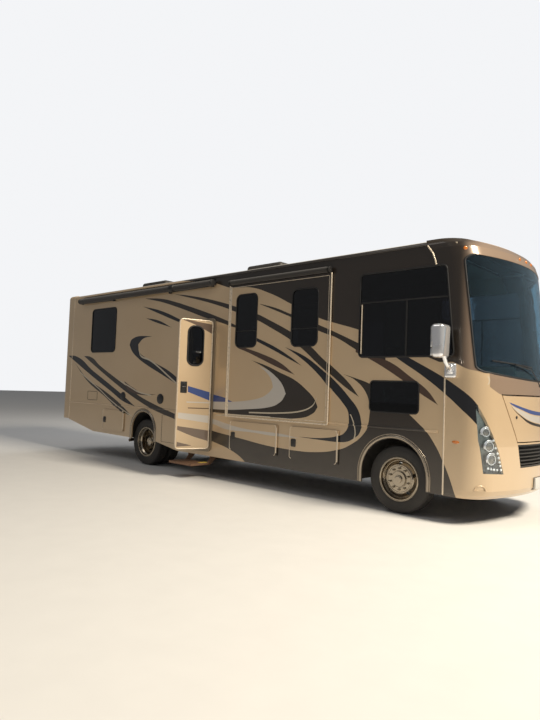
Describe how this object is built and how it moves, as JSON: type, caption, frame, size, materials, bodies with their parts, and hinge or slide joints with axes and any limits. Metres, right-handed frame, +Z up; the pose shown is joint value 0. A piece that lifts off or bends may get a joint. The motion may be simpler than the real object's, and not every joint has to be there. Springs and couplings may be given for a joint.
{
  "type": "class A motorhome",
  "caption": "Full-size bus-fronted motorhome with slide-out rooms, an open entry door, luggage compartments, roof air units and dual rear wheels.",
  "frame": {"origin": "on the ground below the middle of the whole box, mirrors and open door included", "axes": "+X towards the nose, +Y to the vehicle's left, +Z up"},
  "size_m": [10.6046, 3.5979, 4.02],
  "materials": {
    "chassis_black": "satin",
    "engine_grey": "rough",
    "exhaust_steel": "dull",
    "tyre": "matte",
    "wheel_steel": "polished",
    "floor_board": "matte",
    "interior_trim": "matte",
    "interior_metal": "satin",
    "interior_dark": "matte",
    "seat_leather": "soft",
    "body_paint": "gloss",
    "cap_paint": "gloss",
    "roof_skin": "matte",
    "grille_dark": "satin",
    "lamp_lens": "clear",
    "window_glass": "tinted",
    "step_metal": "satin",
    "bay_liner": "matte",
    "mirror_chrome": "polished",
    "shroud_plastic": "satin",
    "awning_fabric": "matte"
  },
  "bodies": {
    "chassis": {"chassis_frame": "chassis_black", "leaf_springs": "chassis_black", "front_axle": "chassis_black", "rear_axle": "chassis_black", "driveline": "engine_grey", "fuel_tank": "chassis_black", "exhaust": "exhaust_steel", "hitch_receiver": "chassis_black", "floor": "floor_board", "stepwell": "step_metal", "engine_cover": "interior_trim", "dash": "interior_trim", "seat_bases": "interior_metal", "seats": "seat_leather", "steering_wheel": "interior_dark", "wall_left": "body_paint", "wall_right": "body_paint", "skirt_left": "body_paint", "skirt_right": "body_paint", "roof": "roof_skin", "front_cap": "cap_paint", "rear_cap": "cap_paint", "grille": "grille_dark", "lamps": "lamp_lens", "windshield": "window_glass", "side_glass": "window_glass", "door_frame": "body_paint", "entry_step": "step_metal", "bays_left": "bay_liner", "bays_right": "bay_liner", "mirrors": "mirror_chrome", "air_units": "shroud_plastic", "patio_awning": "awning_fabric"},
    "knuckle_left": {"knuckle_left": "chassis_black"},
    "knuckle_right": {"knuckle_right": "chassis_black"},
    "tie_rod": {"tie_rod": "chassis_black"},
    "entry_door": {"entry_door": "body_paint", "entry_door_glass": "window_glass"},
    "front_hatch": {"front_hatch": "cap_paint"},
    "front_wheel_left": {"front_tyre_left": "tyre", "front_wheel_left": "wheel_steel"},
    "rear_wheels_left": {"rear_tyres_left": "tyre", "rear_wheels_left": "wheel_steel"},
    "front_wheel_right": {"front_tyre_right": "tyre", "front_wheel_right": "wheel_steel"},
    "rear_wheels_right": {"rear_tyres_right": "tyre", "rear_wheels_right": "wheel_steel"},
    "slide_out_right": {"slide_room_right": "body_paint", "slide_glass_right": "window_glass", "slide_topper_right": "awning_fabric"},
    "bay_door_right_front": {"bay_door_right_front": "body_paint"},
    "bay_door_right_middle": {"bay_door_right_middle": "body_paint"},
    "bay_door_right_rear": {"bay_door_right_rear": "body_paint"},
    "slide_out_left": {"slide_room_left": "body_paint", "slide_glass_left": "window_glass", "slide_topper_left": "awning_fabric"},
    "bay_door_left_front": {"bay_door_left_front": "body_paint"},
    "bay_door_left_middle": {"bay_door_left_middle": "body_paint"},
    "bay_door_left_rear": {"bay_door_left_rear": "body_paint"}
  },
  "joints": [
    {"name": "steer_left", "type": "hinge", "parent": "chassis", "child": "knuckle_left", "pos_m": [3.8475, 1.0527, 0.46], "axis": [0, 0, 1], "range_deg": [-38, 38]},
    {"name": "steer_right", "type": "hinge", "parent": "chassis", "child": "knuckle_right", "pos_m": [3.8475, -0.8073, 0.46], "axis": [0, 0, 1], "range_deg": [-38, 38]},
    {"name": "tie_rod_pivot", "type": "hinge", "parent": "knuckle_left", "child": "tie_rod", "pos_m": [3.6775, 1.0527, 0.35], "axis": [0, 0, 1], "range_deg": [-38, 38]},
    {"name": "front_spin_left", "type": "hinge", "parent": "knuckle_left", "child": "front_wheel_left", "pos_m": [3.8475, 1.2027, 0.46], "axis": [0, 1, 0], "continuous": true},
    {"name": "rear_spin_left", "type": "hinge", "parent": "chassis", "child": "rear_wheels_left", "pos_m": [-1.9435, 1.0602, 0.46], "axis": [0, 1, 0], "continuous": true},
    {"name": "front_spin_right", "type": "hinge", "parent": "knuckle_right", "child": "front_wheel_right", "pos_m": [3.8475, -0.9573, 0.46], "axis": [0, 1, 0], "continuous": true},
    {"name": "rear_spin_right", "type": "hinge", "parent": "chassis", "child": "rear_wheels_right", "pos_m": [-1.9435, -0.8148, 0.46], "axis": [0, 1, 0], "continuous": true},
    {"name": "entry_door_hinge", "type": "hinge", "parent": "chassis", "child": "entry_door", "pos_m": [0.0725, -1.1848, 1.6], "axis": [0, 0, 1], "range_deg": [-70, 30]},
    {"name": "front_hatch_hinge", "type": "hinge", "parent": "chassis", "child": "front_hatch", "pos_m": [5.2475, 0.1227, 1.84], "axis": [0, -1, 0], "range_deg": [0, 75]},
    {"name": "slide_out_right_travel", "type": "slide", "parent": "chassis", "child": "slide_out_right", "axis": [0, -1, 0], "range_m": [0, 0.54]},
    {"name": "bay_door_right_front_hinge", "type": "hinge", "parent": "chassis", "child": "bay_door_right_front", "pos_m": [2.8975, -1.1758, 0.799], "axis": [0, 0, 1], "range_deg": [0, 100]},
    {"name": "bay_door_right_middle_hinge", "type": "hinge", "parent": "chassis", "child": "bay_door_right_middle", "pos_m": [1.6975, -1.1758, 0.803], "axis": [0, 0, 1], "range_deg": [0, 100]},
    {"name": "bay_door_right_rear_hinge", "type": "hinge", "parent": "chassis", "child": "bay_door_right_rear", "pos_m": [-2.6425, -1.1758, 0.83], "axis": [0, 0, 1], "range_deg": [0, 100]},
    {"name": "slide_out_left_travel", "type": "slide", "parent": "chassis", "child": "slide_out_left", "axis": [0, 1, 0], "range_m": [0, 0.62]},
    {"name": "bay_door_left_front_hinge", "type": "hinge", "parent": "chassis", "child": "bay_door_left_front", "pos_m": [2.8975, 1.4212, 0.799], "axis": [0, 0, -1], "range_deg": [0, 100]},
    {"name": "bay_door_left_middle_hinge", "type": "hinge", "parent": "chassis", "child": "bay_door_left_middle", "pos_m": [1.6975, 1.4212, 0.803], "axis": [0, 0, -1], "range_deg": [0, 100]},
    {"name": "bay_door_left_rear_hinge", "type": "hinge", "parent": "chassis", "child": "bay_door_left_rear", "pos_m": [-2.6425, 1.4212, 0.83], "axis": [0, 0, -1], "range_deg": [0, 100]}
  ],
  "couplings": [
    {"joint": "steer_right", "follows": "steer_left", "ratio": 1},
    {"joint": "tie_rod_pivot", "follows": "steer_left", "ratio": -1}
  ]
}
